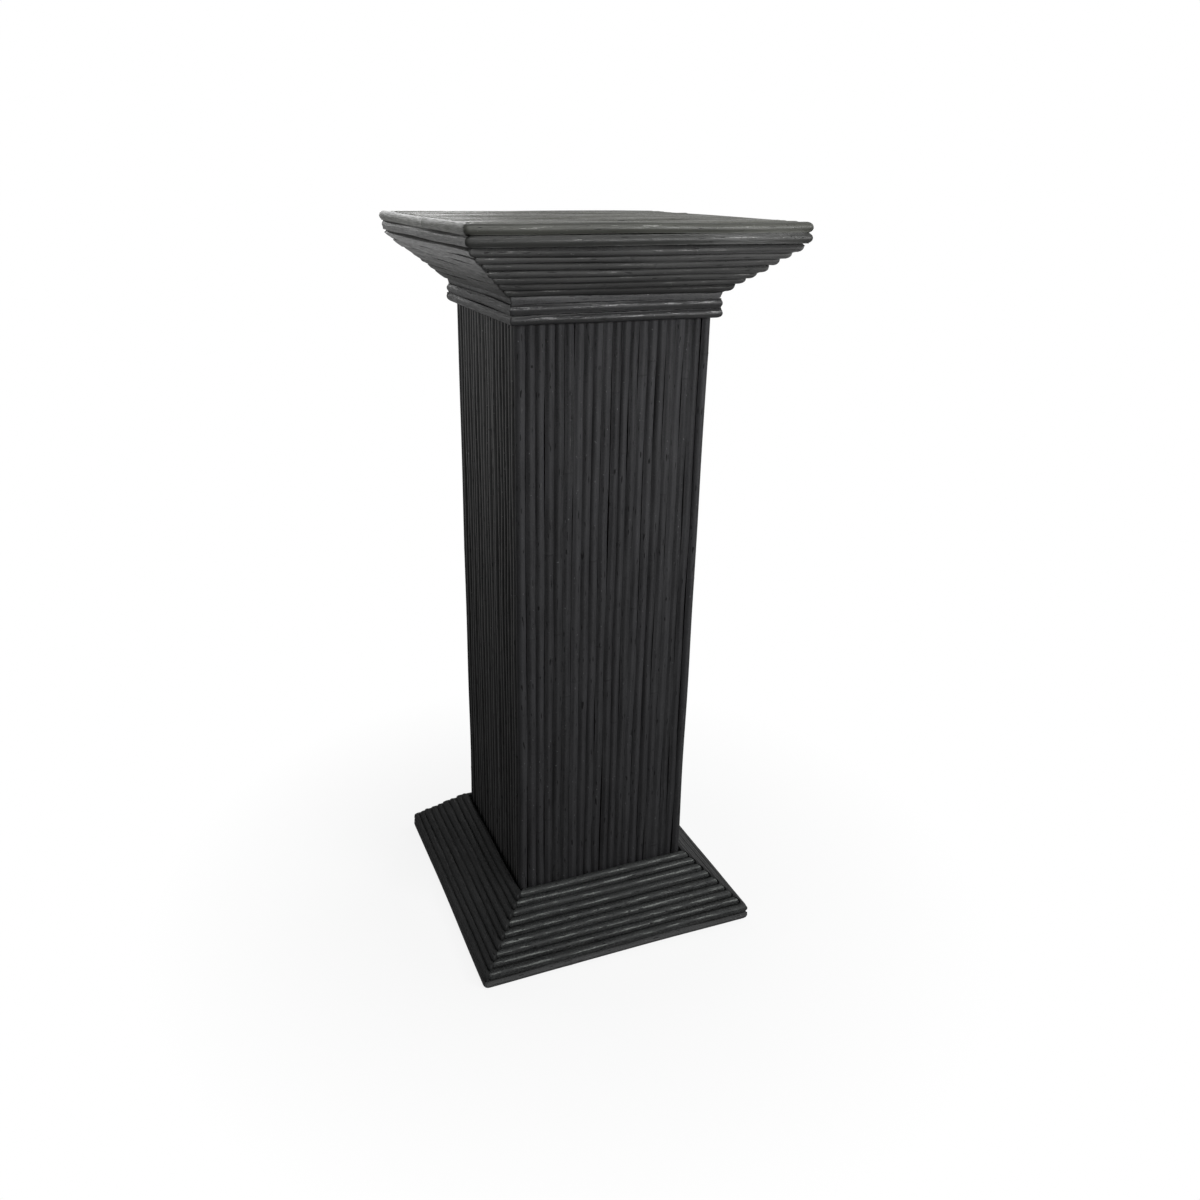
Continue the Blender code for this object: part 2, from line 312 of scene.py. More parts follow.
PAINTS = {
    "shaft": Paint(
        dark=(0.0105, 0.0105, 0.0110), light=(0.0220, 0.0220, 0.0231), glint_colour=(0.07, 0.07, 0.07),
        glint_share=0.0, lift=0.25, roughness=0.62, specular=0.05, speckle=0.15,
        shade=0.95, variety=0.16, line=(0.08, 0.50),
    ),
    "shaft_side": Paint(
        dark=(0.0125, 0.0125, 0.0125), light=(0.039, 0.039, 0.039), glint_colour=(0.09, 0.09, 0.09),
        glint_share=0.0, lift=0.85, roughness=0.62, specular=0.04, speckle=0.10, shade=0.90, variety=0.32,
    ),
    "base": Paint(
        dark=(0.0094, 0.0097, 0.0098), light=(0.0208, 0.0217, 0.0215), glint_colour=(0.18, 0.19, 0.18),
        glint_share=0.58, lift=0.75, roughness=0.50, specular=0.07, speckle=0.80,
    ),
    "base_side": Paint(
        dark=(0.008, 0.0081, 0.0082), light=(0.017, 0.0173, 0.0174), glint_colour=(0.10, 0.10, 0.10),
        glint_share=0.05, lift=0.40, roughness=0.52, specular=0.05, speckle=0.15,
    ),
    # The floor reed's paint is lighter than the base's, as painted light on its low, dim front
    "foot": Paint(
        dark=(0.022, 0.0222, 0.0224), light=(0.044, 0.0444, 0.0448), glint_colour=(0.12, 0.12, 0.12),
        glint_share=0.10, lift=0.30, roughness=0.55, specular=0.06, speckle=0.40,
    ),
    "neck": Paint(
        dark=(0.0116, 0.0116, 0.0119), light=(0.0232, 0.0232, 0.0238), glint_colour=(0.22, 0.22, 0.22),
        glint_share=0.50, lift=0.30, roughness=0.42, specular=0.10, speckle=0.15,
    ),
    "neck_side": Paint(
        dark=(0.013, 0.013, 0.013), light=(0.026, 0.026, 0.026), glint_colour=(0.12, 0.12, 0.12),
        glint_share=0.20, lift=0.30, roughness=0.50, specular=0.05, speckle=0.15, shade=0.85,
    ),
    # The frieze's paint is lighter than the neck's, as painted light against the capital's shadow over it
    "frieze": Paint(
        dark=(0.032, 0.032, 0.0325), light=(0.060, 0.060, 0.061), glint_colour=(0.16, 0.16, 0.16),
        glint_share=0.20, lift=0.25, roughness=0.55, specular=0.06, speckle=0.15,
    ),
    "capital": Paint(
        dark=(0.0205, 0.0205, 0.0204), light=(0.0410, 0.0410, 0.0405), glint_colour=(0.20, 0.20, 0.196),
        glint_share=0.34, lift=0.45, roughness=0.42, specular=0.145, speckle=0.15,
        shade=0.90, variety=0.22, line=(0.12, 0.55), low_shade=0.48,
    ),
    "capital_side": Paint(
        dark=(0.0160, 0.0160, 0.0155), light=(0.0320, 0.0320, 0.0308), glint_colour=(0.11, 0.11, 0.105),
        glint_share=0.10, lift=0.20, roughness=0.42, specular=0.13, speckle=0.10, low_shade=0.46,
    ),
    "lip": Paint(
        dark=(0.016, 0.0164, 0.0140), light=(0.031, 0.0317, 0.0272), glint_colour=(0.17, 0.17, 0.16),
        glint_share=0.25, lift=0.20, roughness=0.44, specular=0.18, speckle=0.10,
    ),
    # The lower lip's paints are darker than the upper lip's, as painted shade under the upper lip
    "lip_seat": Paint(
        dark=(0.0092, 0.0094, 0.0089), light=(0.0176, 0.0179, 0.0168), glint_colour=(0.17, 0.17, 0.165),
        glint_share=0.32, lift=0.20, roughness=0.44, specular=0.13, speckle=0.10,
    ),
    "lip_seat_side": Paint(
        dark=(0.012, 0.0120, 0.0115), light=(0.024, 0.0240, 0.0230), glint_colour=(0.08, 0.08, 0.077),
        glint_share=0.10, lift=0.10, roughness=0.46, specular=0.12, speckle=0.10,
    ),
    "lip_side": Paint(
        dark=(0.016, 0.0164, 0.0136), light=(0.030, 0.0308, 0.0254), glint_colour=(0.10, 0.10, 0.09),
        glint_share=0.10, lift=0.10, roughness=0.46, specular=0.14, speckle=0.10,
    ),
    "top": Paint(
        dark=(0.021, 0.0214, 0.0164), light=(0.034, 0.0347, 0.0268), glint_colour=(0.09, 0.09, 0.075),
        glint_share=0.10, lift=0.20, roughness=0.31, specular=0.20, speckle=0.10,
    ),
}

# Paints of the front and the back, and of the right and the left: lit and shaded copies of one black paint
FINISHES = {
    "shaft_reeds": ("shaft", "shaft_side"),
    "base_reeds": ("base", "base_side"),
    "capital_reeds": ("capital", "capital_side"),
    "base_floor_reed": ("foot", "foot"),
    "neck_reed_lower": ("neck", "neck_side"),
    "neck_reed_upper": ("neck", "neck_side"),
    "frieze_reed": ("frieze", "neck_side"),
    "lip_reed_lower": ("lip_seat", "lip_seat_side"),
    "lip_reed_upper": ("lip", "lip_side"),
}


class Pattern(NamedTuple):
    """Noise in the paint, with its scales round a reed, along it and from reed to reed."""

    scales: tuple
    detail: float
    roughness: float = 0.5


# Patterns of the paint, and how far they are shifted along a reed at most
GRAIN = Pattern((700.0, 55.0, 31.0), 4.0, 0.65)
BLOTCH = Pattern((110.0, 16.0, 17.0), 2.0)
DASH = Pattern((450.0, 30.0, 53.0), 3.0, 0.6)
SPECK = Pattern((2600.0, 450.0, 11.0), 1.0)
DENT = Pattern((520.0, 75.0, 71.0), 0.0)
CHIP = Pattern((420.0, 260.0, 43.0), 1.0)
FLECK = Pattern((900.0, 520.0, 23.0), 1.0)
BREAK = Pattern((0.0, 11.0, 97.0), 2.0)
PATTERN_SHIFT = 20.0

# Values of those patterns, or of what a reed stores, between which a layer of the paint sets in
TONE_EDGE = (0.36, 0.64)
FLECK_EDGE = (0.40, 0.70)
BREAK_EDGE = (0.36, 0.58)
HIGHLIGHT_EDGE = (0.93, 0.995)
DASH_EDGE = (0.68, 0.74)
SPECK_EDGE = (0.34, 0.56)
GLINT_CREST_EDGE = (0.955, 0.995)
RING_EDGE = (0.15, 1.0)
CHIP_EDGE = (0.735, 0.775)
CHIPPED_EDGE = (0.70, 0.92)
DENT_EDGE = (0.755, 0.785)
ROUGH_EDGE = (0.30, 0.70)
LOW_SHADE_EDGE = (0.1, 1.0)

# Strengths of the layers, and their tones as multiples of the paint's dark or light colour
BLOTCH_SHARE = 0.5
GRAIN_SHARE = 0.3
OWN_SHARE = 0.10
LEAST_FLANK = 0.25
GLINT_REACH = 0.30
RING_SHARE = 0.35
ROUGH_SPREAD = 0.12
LOW_SHADE_ROUGHNESS = 0.60
FLECK_TONE = 2.2
# FLANK_TONE is the painted shade on the flanks
FLANK_TONE = 0.25
# HIGHLIGHT_TONE is the painted highlight on the crest
HIGHLIGHT_TONE = 1.8
RING_TONE = 0.45
CHIP_TONE = 2.6
DENT_TONE = 0.5
BLACK = (0.0, 0.0, 0.0)


class Timber(NamedTuple):
    """A finish of boards, given by the starts of their names, with its fibres along an axis."""

    boards: tuple
    dark: tuple
    light: tuple
    along: str
    roughness: float


# Finishes of the solids that stay: boards blackened behind the reeds, bare timber inside and beneath
TIMBERS = {
    "blackened_plywood": Timber(
        boards=("core_board", "base_skirt_board", "capital_skirt_board", "top_board"),
        dark=(0.006, 0.006, 0.006),
        light=(0.016, 0.015, 0.014),
        along="Z",
        roughness=0.70,
    ),
    "bare_plywood": Timber(
        boards=("floor_board", "core_bulkhead"),
        dark=(0.30, 0.20, 0.11),
        light=(0.52, 0.38, 0.23),
        along="X",
        roughness=0.72,
    ),
    "sawn_pine": Timber(
        boards=("corner_block",),
        dark=(0.42, 0.28, 0.14),
        light=(0.62, 0.46, 0.28),
        along="Z",
        roughness=0.78,
    ),
}

# Timber patterns, with their scales along the fibres and across, and the noise's detail and roughness
FIBRE_SCALES = (30.0, 900.0)
FIBRE_DETAIL = (4.0, 0.6)
BAND_SCALES = (3.0, 38.0)
BAND_DETAIL = (3.0, 0.5)
FIBRE_SHARE = 0.45
BAND_SHARE = 0.55
TIMBER_EDGE = (0.35, 0.65)
TIMBER_ROUGH_EDGE = (0.3, 0.7)
TIMBER_ROUGH_SPREAD = 0.08

# Bumps, with their strength and their height in metres
PAINT_BUMP = (0.50, 0.0005)
TIMBER_BUMP = (0.3, 0.0004)

# Sockets of a colour mix by number, because their names also belong to its other kinds
MIX_FACTOR = 0
MIX_FIRST = 6
MIX_SECOND = 7
MIX_RESULT = 2

# Camera, fitted to the photograph's edges in its frame of 1200 by 1200 pixels. Angles are in degrees.
PHOTO_WIDTH = 1200.0
FOCAL_PIXELS = 1019.3
PHOTO_CENTRE = (570.0, 592.7)
CAMERA_PLACE = (-0.4713, -1.1680, 0.9582)
CAMERA_YAW = 21.760
CAMERA_PITCH = 22.146
CAMERA_ROLL = 0.672
SENSOR_WIDTH = 36.0
CLIP_START = 0.01

# Floor, just under the lowest reed. Further out it is white to the camera and to reflections.
FLOOR_REACH = 30.0
FLOOR_DROP = 0.0006
FLOOR_COLOUR = (0.50, 0.50, 0.50, 1.0)
FLOOR_ROUGHNESS = 0.9
SHADOW_EDGE = (0.26, 0.60)
NEAR_WHITE = 0.88
REFLECTED_EDGE = (0.30, 1.80)

# Even light from all around, and the white that the camera sees
SKY_COLOUR = (0.96, 0.98, 1.0, 1.0)
SKY_STRENGTH = 0.12
WHITE = (1.0, 1.0, 1.0, 1.0)
WHITE_STRENGTH = 1.0


class Softbox(NamedTuple):
    """A round lamp with its diameter in metres, its power in watts and its spread in degrees."""

    place: tuple
    aim: tuple
    size: float
    power: float
    spread: float = 180.0


SOFTBOXES = {
    "key_softbox": Softbox((0.65, -1.25, 1.05), (0.0, 0.0, 0.86), 0.50, 11.0, 115.0),
    "overhead_softbox": Softbox((0.25, -0.90, 2.10), (0.0, -0.1, 0.20), 0.60, 17.0),
    "fill_softbox": Softbox((-0.95, 0.20, 1.00), (0.0, 0.0, 0.86), 0.35, 1.0, 70.0),
    "back_softbox": Softbox((-0.05, 1.50, 1.25), (0.0, 0.0, 0.70), 0.90, 8.0),
    "side_softbox": Softbox((1.60, 0.40, 1.60), (0.0, 0.0, 0.35), 0.90, 14.0),
}


def wander(rng, along, wavelength, spread):
    """A smooth random curve of about that wavelength."""
    waves = [
        np.sin(2 * np.pi * along / (wavelength * rng.uniform(*WAVE_LENGTHS)) + rng.uniform(0, 2 * np.pi))
        for _ in range(WAVES)
    ]
    return spread * sum(waves) / WAVES_HEIGHT


def lay_side_by_side(rng, count):
    """Thinner and thicker reeds that touch: each one's share of the way across, and its size about 1."""
    most = 2 * DIAMETER_SPREAD
    sizes = np.clip(1 + rng.normal(0, DIAMETER_SPREAD, count), 1 - most, 1 + most)
    sizes[[0, -1]] = 1.0
    steps = (sizes[1:] + sizes[:-1]) / 2
    places = np.concatenate([[0.0], np.cumsum(steps)])
    return zip(places / places[-1], sizes)


def ring_places(rng, length):
    """Where a reed has rings of points, closer at its ends and nodes, and where its nodes are."""
    nodes = []
    place = rng.uniform(FIRST_NODE, NODE_SPACING[1])
    while place < length:
        nodes.append(place)
        place += rng.uniform(*NODE_SPACING)
    places = list(np.linspace(0.0, length, max(2, round(length / RING_STEP)) + 1))
    places += [node + offset for node in nodes for offset in NODE_RING_OFFSETS]
    for share in END_RING_SHARES:
        for reach in (END_ROUND, CORNER_REACH):
            places += [share * reach, length - share * reach]
    kept = [0.0]
    for place in sorted(places):
        if kept[-1] + LEAST_RING_STEP < place < length - LEAST_RING_STEP:
            kept.append(place)
    return np.array(kept + [length]), nodes


def swell_at_nodes(rng, along, nodes):
    """How strongly each ring of points is marked as a node, and how far the reed swells there."""
    mark = np.zeros_like(along)
    height = np.zeros_like(along)
    for node in nodes:
        strength = rng.uniform(*NODE_STRENGTH)
        thin_ring = strength * np.exp(-(((along - node) / NODE_WIDTH) ** 2))
        swelling = strength * np.exp(-(((along - node) / NODE_SWELL_WIDTH) ** 2))
        mark += thin_ring
        height += NODE_HEIGHT * thin_ring + NODE_SWELL * swelling
    return mark, height


def shape_ends(along, length, ends):
    """What its ends do to a reed: the share of its size that stays, its inset and how its grooves open."""
    kept = np.ones_like(along)
    inset = np.zeros_like(along)
    opening = np.zeros_like(along)
    for from_end, end in zip((along, length - along), ends):
        kept *= 1 - end.shrink * (1 - np.clip(from_end / END_ROUND, 0, 1)) ** 2
        on_corner = np.minimum(from_end, end.corner)
        inset += end.corner - (on_corner + np.sqrt(2 * end.corner**2 - on_corner**2)) / 2
        opening += end.opening * (1 - np.clip(from_end / OPENING_LENGTH, 0, 1)) ** 2
    return kept, inset, opening


def reed(
    rng, length, centre, radius, outward, fills,
    crest_turn=OUTWARD_CREST, back_limit=None, ends=PLAIN_ENDS, thicker=0.0,
):
    """One reed about its own axis: its points (along, p, q) with what the paint needs to know of each.

    outward is the angle in the p, q plane that faces out. The seam of the points lies opposite to it.
    fills are the levels of the paint in the grooves clockwise and anticlockwise of outward.
    rub is the angle from outward to the crest line, which carries chips and the painted highlights and
    glints.
    back_limit is the least p, where the reed is flat at its back.
    """
    along, nodes = ring_places(rng, length)
    size = radius * (1 + wander(rng, along, BEND_LENGTH, TAPER_SPREAD))
    mark, height = swell_at_nodes(rng, along, nodes)
    kept, inset, opening = shape_ends(along, length, ends)
    size = (size + height) * kept
    turn = 2 * np.pi * np.arange(REED_SIDES) / REED_SIDES + np.pi / REED_SIDES - np.pi
    oval = 1 + rng.normal(0, OVAL_SPREAD) * np.cos(2 * turn + rng.uniform(0, 2 * np.pi))
    out = size[:, None] * oval * np.cos(turn)
    aside = size[:, None] * oval * np.sin(turn)

    level = wander(rng, along, BEND_LENGTH, GROOVE_FILL_SPREAD) - opening + thicker * along / length
    groove_fill = np.where(turn < 0, fills[0], fills[1])
    above = out - (groove_fill + level[:, None]) * size[:, None]
    filled = out + (np.sqrt(above**2 + (GROOVE_SOFTNESS * radius) ** 2) - above) / 2
    out = np.where(np.abs(turn) < FILLED_TURN, filled, out)

    centre_p = centre[0] - inset + rng.normal(0, LAY_SPREAD) + wander(rng, along, BEND_LENGTH, BEND_SPREAD)
    centre_q = centre[1] + rng.normal(0, LAY_SPREAD) + wander(rng, along, BEND_LENGTH, BEND_SPREAD)
    p = centre_p[:, None] + out * math.cos(outward) - aside * math.sin(outward)
    q = centre_q[:, None] + out * math.sin(outward) + aside * math.cos(outward)
    if back_limit is not None:
        p = np.maximum(p, back_limit)
    facing = np.cos(turn - crest_turn)
    facing = np.where(groove_fill == NO_GROOVE, np.maximum(facing, OPEN_CREST), facing)
    grid = np.ones_like(p)
    return {
        "along": along[:, None] * grid,
        "p": p,
        "q": q,
        "around": turn * radius * grid,
        "offset": rng.uniform(0, PATTERN_SHIFT),
        "identity": rng.uniform(0, 1),
        "crest": facing * grid,
        "ring": mark[:, None] * grid,
        "lowness": 0.0,
        "laps": (MITRE_LAP, MITRE_LAP),
    }


def reed_faces(rings, first):
    """Quads round one reed and a cap on each end."""
    index = first + np.arange(rings * REED_SIDES).reshape(rings, REED_SIDES)
    beside = np.roll(index, -1, axis=1)
    quads = np.stack([index[:-1], beside[:-1], beside[1:], index[1:]], axis=-1).reshape(-1, 4)
    return quads.tolist() + [index[0][::-1].tolist(), index[-1].tolist()]


def signed_volume(points, faces):
    """Six times the volume that the faces enclose, below zero where they face inwards."""
    total = 0.0
    for face in faces:
        corners = points[face]
        for second, third in zip(corners[1:], corners[2:]):
            total += float(np.dot(corners[0], np.cross(second, third)))
    return total


def reed_piece(name, reeds, to_front, side, material):
    """One mesh object of separate reeds, set at its side, with the paint's values stored on its points."""
    points, coords, crests, rings, lows, faces = [], [], [], [], [], []
    for one in reeds:
        first = sum(len(block) for block in points)
        x, y, z = to_front(one)
        points.append(np.stack([x, y, z], axis=-1).reshape(-1, 3))
        identity = np.full_like(x, one["identity"])
        coord = np.stack([one["around"], one["along"] + one["offset"], identity], axis=-1)
        coords.append(coord.reshape(-1, 3))
        crests.append(one["crest"].reshape(-1))
        rings.append(one["ring"].reshape(-1))
        lows.append(np.full(x.size, one["lowness"]))
        faces += reed_faces(len(one["along"]), first)
    points = np.concatenate(points)
    first_reed = reed_faces(len(reeds[0]["along"]), 0)
    if signed_volume(points, first_reed) < 0:
        faces = [face[::-1] for face in faces]
    turn = np.array(Matrix.Rotation(math.radians(SIDES[side]), 3, "Z"))
    mesh = bpy.data.meshes.new(name)
    mesh.from_pydata((points @ turn.T).tolist(), [], faces)
    store = mesh.attributes.new("reed_coord", "FLOAT_VECTOR", "POINT")
    store.data.foreach_set("vector", np.concatenate(coords).ravel())
    for label, values in (("crest", crests), ("node_ring", rings), ("lowness", lows)):
        store = mesh.attributes.new(label, "FLOAT", "POINT")
        store.data.foreach_set("value", np.concatenate(values))
    mesh.shade_smooth()
    mesh.set_sharp_from_angle(angle=SHARP_ANGLE)
    mesh.materials.append(material)
    piece = bpy.data.objects.new(name, mesh)
    bpy.context.scene.collection.objects.link(piece)
    return piece


def dress(piece, node):
    """The piece stands for a CAD node and rides with the plinth."""
    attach(piece, "root")
    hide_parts(node)


def upright_to_front(one):
    """Stands a reed up, with q facing out."""
    return one["p"], -one["q"], one["along"]


def mitred_to_front(one):
    """Lays a reed level, with p facing out, and stretches it to its laps past the corner diagonals."""
    middle = one["along"].max() / 2
    share = (one["along"] - middle) / middle
    lap = np.where(share < 0, *one["laps"])
    return share * (one["p"] + lap), -one["p"], one["q"]


def level_to_front(one):
    """Lays a reed level on the top, with q facing up."""
    return one["along"] - one["along"].max() / 2, one["p"], one["q"]


def build_shaft(paints):
    """The upright reeds of the four faces. The front and the back have the corner reeds."""
    for side, seed in SHAFT_SEEDS.items():
        rng = np.random.default_rng(seed)
        low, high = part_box(f"shaft_reeds_{side}")
        size = high - low
        radius = min(size.x, size.y) / 2
        reach = max(abs(low.x), abs(low.y), high.x, high.y)
        span = max(size.x, size.y) - 2 * radius
        levels = rng.uniform(*SHAFT_FILL[side], SHAFT_REEDS[side] + 1)
        if side in ("front", "back"):
            levels[[0, -1]] = NO_GROOVE
        rows = zip(lay_side_by_side(rng, SHAFT_REEDS[side]), zip(levels[1:], levels))
        reeds = []
        for (share, thickness), grooves in rows:
            centre = ((share - 0.5) * span, reach - radius)
            one = reed(rng, size.z, centre, radius * thickness, TOWARDS_Q, grooves)
            one["along"] = one["along"] + low.z
            reeds.append(one)
        piece = reed_piece(f"upright_reeds_{side}", reeds, upright_to_front, side, paints[side])
        dress(piece, f"shaft_reeds_{side}")


def end_courses(flare):
    """The profile points at the centres of a flare's lowest and highest course."""
    low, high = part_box(f"{flare.node}_front")
    innermost = -high.y + COURSE_RADIUS
    outermost = -low.y - COURSE_RADIUS
    reaches = (innermost, outermost) if flare.opens_upwards else (outermost, innermost)
    heights = (low.z + COURSE_RADIUS, high.z - COURSE_RADIUS)
    return [np.array(point) for point in zip(reaches, heights)]


def build_flare(flare, paints):
    """The mitred courses of the base or the capital, on all four sides."""
    lowest, highest = end_courses(flare)
    run, rise = highest - lowest
    outward = math.atan2(-run, rise)
    for number, side in enumerate(SIDES):
        rng = np.random.default_rng(flare.seed + number)
        levels = [flare.low_fill[side]] + [flare.fill[side]] * flare.courses
        rows = zip(lay_side_by_side(rng, flare.courses), zip(levels, levels[1:]))
        thicker = flare.thicker[side]
        reeds = []
        for (share, thickness), grooves in rows:
            a, z = lowest * (1 - share) + highest * share
            a -= flare.inset[side]
            ends = flare.ends[side] if reeds else flare.low_ends[side]
            radius = COURSE_RADIUS * thickness
            one = reed(rng, 2 * a, (a, z), radius, outward, grooves, flare.crest_turn, ends=ends, thicker=thicker)
            one["lowness"] = 1 - share
            one["laps"] = [low_lap + (high_lap - low_lap) * share for low_lap, high_lap in flare.laps[side]]
            reeds.append(one)
        piece = reed_piece(f"{flare.piece}_{side}", reeds, mitred_to_front, side, paints[side])
        dress(piece, f"{flare.node}_{side}")


def build_bead(bead, paints):
    """One mitred reed on each side, flat at the back where the solid is."""
    low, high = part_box(f"{bead.node}_front")
    radius = (high.z - low.z) / 2
    a = -low.y - radius
    z = (high.z + low.z) / 2
    for number, side in enumerate(SIDES):
        rng = np.random.default_rng(bead.seed + number)
        grooves = (bead.below[side], bead.above[side])
        centre = (a - bead.inset[side], z)
        back = -high.y - bead.inset[side]
        ends = bead.ends[side]
        one = reed(rng, 2 * a, centre, radius, TOWARDS_P, grooves, BEAD_CREST, back, ends, bead.thicker[side])
        piece = reed_piece(f"{bead.piece}_{side}", [one], mitred_to_front, side, paints[side])
        dress(piece, f"{bead.node}_{side}")


def build_top(material):
    """The level reeds of the top, parallel to its front edge."""
    rng = np.random.default_rng(TOP_SEED)
    low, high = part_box("top_reeds")
    radius = (high.z - low.z) / 2
    z = (high.z + low.z) / 2
    span = high.y - low.y - 2 * radius
    grooves = (TOP_FILL, TOP_FILL)
    reeds = []
    for share, thickness in lay_side_by_side(rng, TOP_REEDS):
        centre = ((share - 0.5) * span, z)
        reeds.append(reed(rng, high.x - low.x, centre, radius * thickness, TOWARDS_Q, grooves))
    piece = reed_piece("level_reeds_top", reeds, level_to_front, "front", material)
    dress(piece, "top_reeds")


def add_node(tree, kind, **settings):
    node = tree.nodes.new(kind)
    for key, value in settings.items():
        setattr(node, key, value)
    return node


def feed(tree, socket, value):
    """Links a socket to another one, or sets its value."""
    if isinstance(value, bpy.types.NodeSocket):
        tree.links.new(value, socket)
    else:
        socket.default_value = value


def stored(tree, name, output):
    """A value that the mesh stores on its points."""
    return add_node(tree, "ShaderNodeAttribute", attribute_name=name).outputs[output]


def noise(tree, vector, scales, detail, roughness):
    """Noise with its own scale along each axis of a vector."""
    stretch = add_node(tree, "ShaderNodeVectorMath", operation="MULTIPLY")
    feed(tree, stretch.inputs[0], vector)
    stretch.inputs[1].default_value = scales
    node = add_node(tree, "ShaderNodeTexNoise", noise_dimensions="3D")
    feed(tree, node.inputs["Vector"], stretch.outputs["Vector"])
    node.inputs["Scale"].default_value = 1.0
    node.inputs["Detail"].default_value = detail
    node.inputs["Roughness"].default_value = roughness
    return node.outputs["Fac"]


def ranged(tree, value, low, high, to_low=0.0, to_high=1.0):
    """A value moved from one range to another and held within it."""
    node = add_node(tree, "ShaderNodeMapRange", clamp=True)
    feed(tree, node.inputs["Value"], value)
    node.inputs["From Min"].default_value = low
    node.inputs["From Max"].default_value = high
    node.inputs["To Min"].default_value = to_low
    node.inputs["To Max"].default_value = to_high
    return node.outputs["Result"]


def combined(tree, operation, first, second):
    node = add_node(tree, "ShaderNodeMath", operation=operation)
    feed(tree, node.inputs[0], first)
    feed(tree, node.inputs[1], second)
    return node.outputs["Value"]


def mixed(tree, factor, first, second):
    """A colour mixed from two others, each a socket or three numbers."""
    node = add_node(tree, "ShaderNodeMix", data_type="RGBA")
    feed(tree, node.inputs[MIX_FACTOR], factor)
    for place, colour in ((MIX_FIRST, first), (MIX_SECOND, second)):
        feed(tree, node.inputs[place], (*colour, 1.0) if isinstance(colour, tuple) else colour)
    return node.outputs[MIX_RESULT]


def new_material(name):
    material = bpy.data.materials.new(name)
    material.use_nodes = True
    tree = material.node_tree
    return material, tree, tree.nodes["Principled BSDF"]


def bumped(tree, shader, height, strength, distance):
    node = add_node(tree, "ShaderNodeBump")
    node.inputs["Strength"].default_value = strength
    node.inputs["Distance"].default_value = distance
    feed(tree, node.inputs["Height"], height)
    feed(tree, shader.inputs["Normal"], node.outputs["Normal"])


def toned(colour, multiple):
    return tuple(multiple * part for part in colour)


def brushed_colour(tree, paint, coord, grain):
    """Streaks and blotches between the dark and the light colour, with each reed's own tone."""
    parts = add_node(tree, "ShaderNodeSeparateXYZ")
    feed(tree, parts.inputs[0], coord)
    blotches = combined(tree, "MULTIPLY", noise(tree, coord, *BLOTCH), BLOTCH_SHARE)
    streaks = combined(tree, "ADD", blotches, combined(tree, "MULTIPLY", grain, GRAIN_SHARE))
    half = paint.variety / 2
    own = ranged(tree, parts.outputs["Z"], 0.0, 1.0, OWN_SHARE - half, OWN_SHARE + half)
    tone = combined(tree, "ADD", streaks, own)
    return mixed(tree, ranged(tree, tone, *TONE_EDGE), paint.dark, paint.light)


def flank_mask(tree, paint, coord, facing):
    """Painted shade: the dark line on the flanks of a reed, broken along it."""
    flank = ranged(tree, facing, *paint.line, paint.shade, 0.0)
    broken = ranged(tree, noise(tree, coord, *BREAK), *BREAK_EDGE, LEAST_FLANK, 1.0)
    return combined(tree, "MULTIPLY", flank, broken)


def glint_mask(tree, paint, coord, facing):
    """Painted glints: speckled dashes along the crest of a reed."""
    edge = [value - GLINT_REACH * paint.glint_share for value in DASH_EDGE]
    dashes = ranged(tree, noise(tree, coord, *DASH), *edge)
    rubbed = combined(tree, "MULTIPLY", dashes, ranged(tree, noise(tree, coord, *SPECK), *SPECK_EDGE))
    return combined(tree, "MULTIPLY", rubbed, ranged(tree, facing, *GLINT_CREST_EDGE))


def painted_reed(name, paint):
    """Black paint brushed over reeds: flecks, node rings, chips, dents, and painted shade, highlights and
    glints.
    """
    material, tree, shader = new_material(name)
    coord = stored(tree, "reed_coord", "Vector")
    facing = stored(tree, "crest", "Fac")
    grain = noise(tree, coord, *GRAIN)
    flecks = ranged(tree, noise(tree, coord, *FLECK), *FLECK_EDGE, 0.0, paint.speckle)
    # Painted highlight along the crest
    highlighted = combined(tree, "MULTIPLY", ranged(tree, facing, *HIGHLIGHT_EDGE), paint.lift)
    ringed = ranged(tree, stored(tree, "node_ring", "Fac"), *RING_EDGE, 0.0, RING_SHARE)
    chips = ranged(tree, noise(tree, coord, *CHIP), *CHIP_EDGE)
    chipped = combined(tree, "MULTIPLY", chips, ranged(tree, facing, *CHIPPED_EDGE))
    dented = ranged(tree, noise(tree, coord, *DENT), *DENT_EDGE)
    layers = (
        (flecks, toned(paint.light, FLECK_TONE)),
        (flank_mask(tree, paint, coord, facing), toned(paint.dark, FLANK_TONE)),
        (highlighted, toned(paint.light, HIGHLIGHT_TONE)),
        (glint_mask(tree, paint, coord, facing), paint.glint_colour),
        (ringed, toned(paint.dark, RING_TONE)),
        (chipped, toned(paint.light, CHIP_TONE)),
        (dented, toned(paint.dark, DENT_TONE)),
    )
    colour = brushed_colour(tree, paint, coord, grain)
    for mask, layer in layers:
        colour = mixed(tree, mask, colour, layer)
    rough = ranged(tree, grain, *ROUGH_EDGE, paint.roughness + ROUGH_SPREAD, paint.roughness - ROUGH_SPREAD)
    # Painted shade: the lower courses of a flare are darker and duller
    if paint.low_shade:
        lowness = stored(tree, "lowness", "Fac")
        colour = mixed(tree, ranged(tree, lowness, *LOW_SHADE_EDGE, 0.0, paint.low_shade), colour, BLACK)
        dull = ranged(tree, lowness, *LOW_SHADE_EDGE, 0.0, LOW_SHADE_ROUGHNESS * paint.low_shade)
        rough = combined(tree, "ADD", rough, dull)
    feed(tree, shader.inputs["Base Color"], colour)
    feed(tree, shader.inputs["Roughness"], rough)
    shader.inputs["Specular IOR Level"].default_value = paint.specular
    height = combined(tree, "ADD", combined(tree, "SUBTRACT", grain, dented), chipped)
    bumped(tree, shader, height, *PAINT_BUMP)
    return material


def timber_noise(tree, place, axis_along, scales, detail):
    """Noise that is drawn out along one axis of the plinth."""
    along, across = scales
    return noise(tree, place, tuple(along if axis == axis_along else across for axis in "XYZ"), *detail)


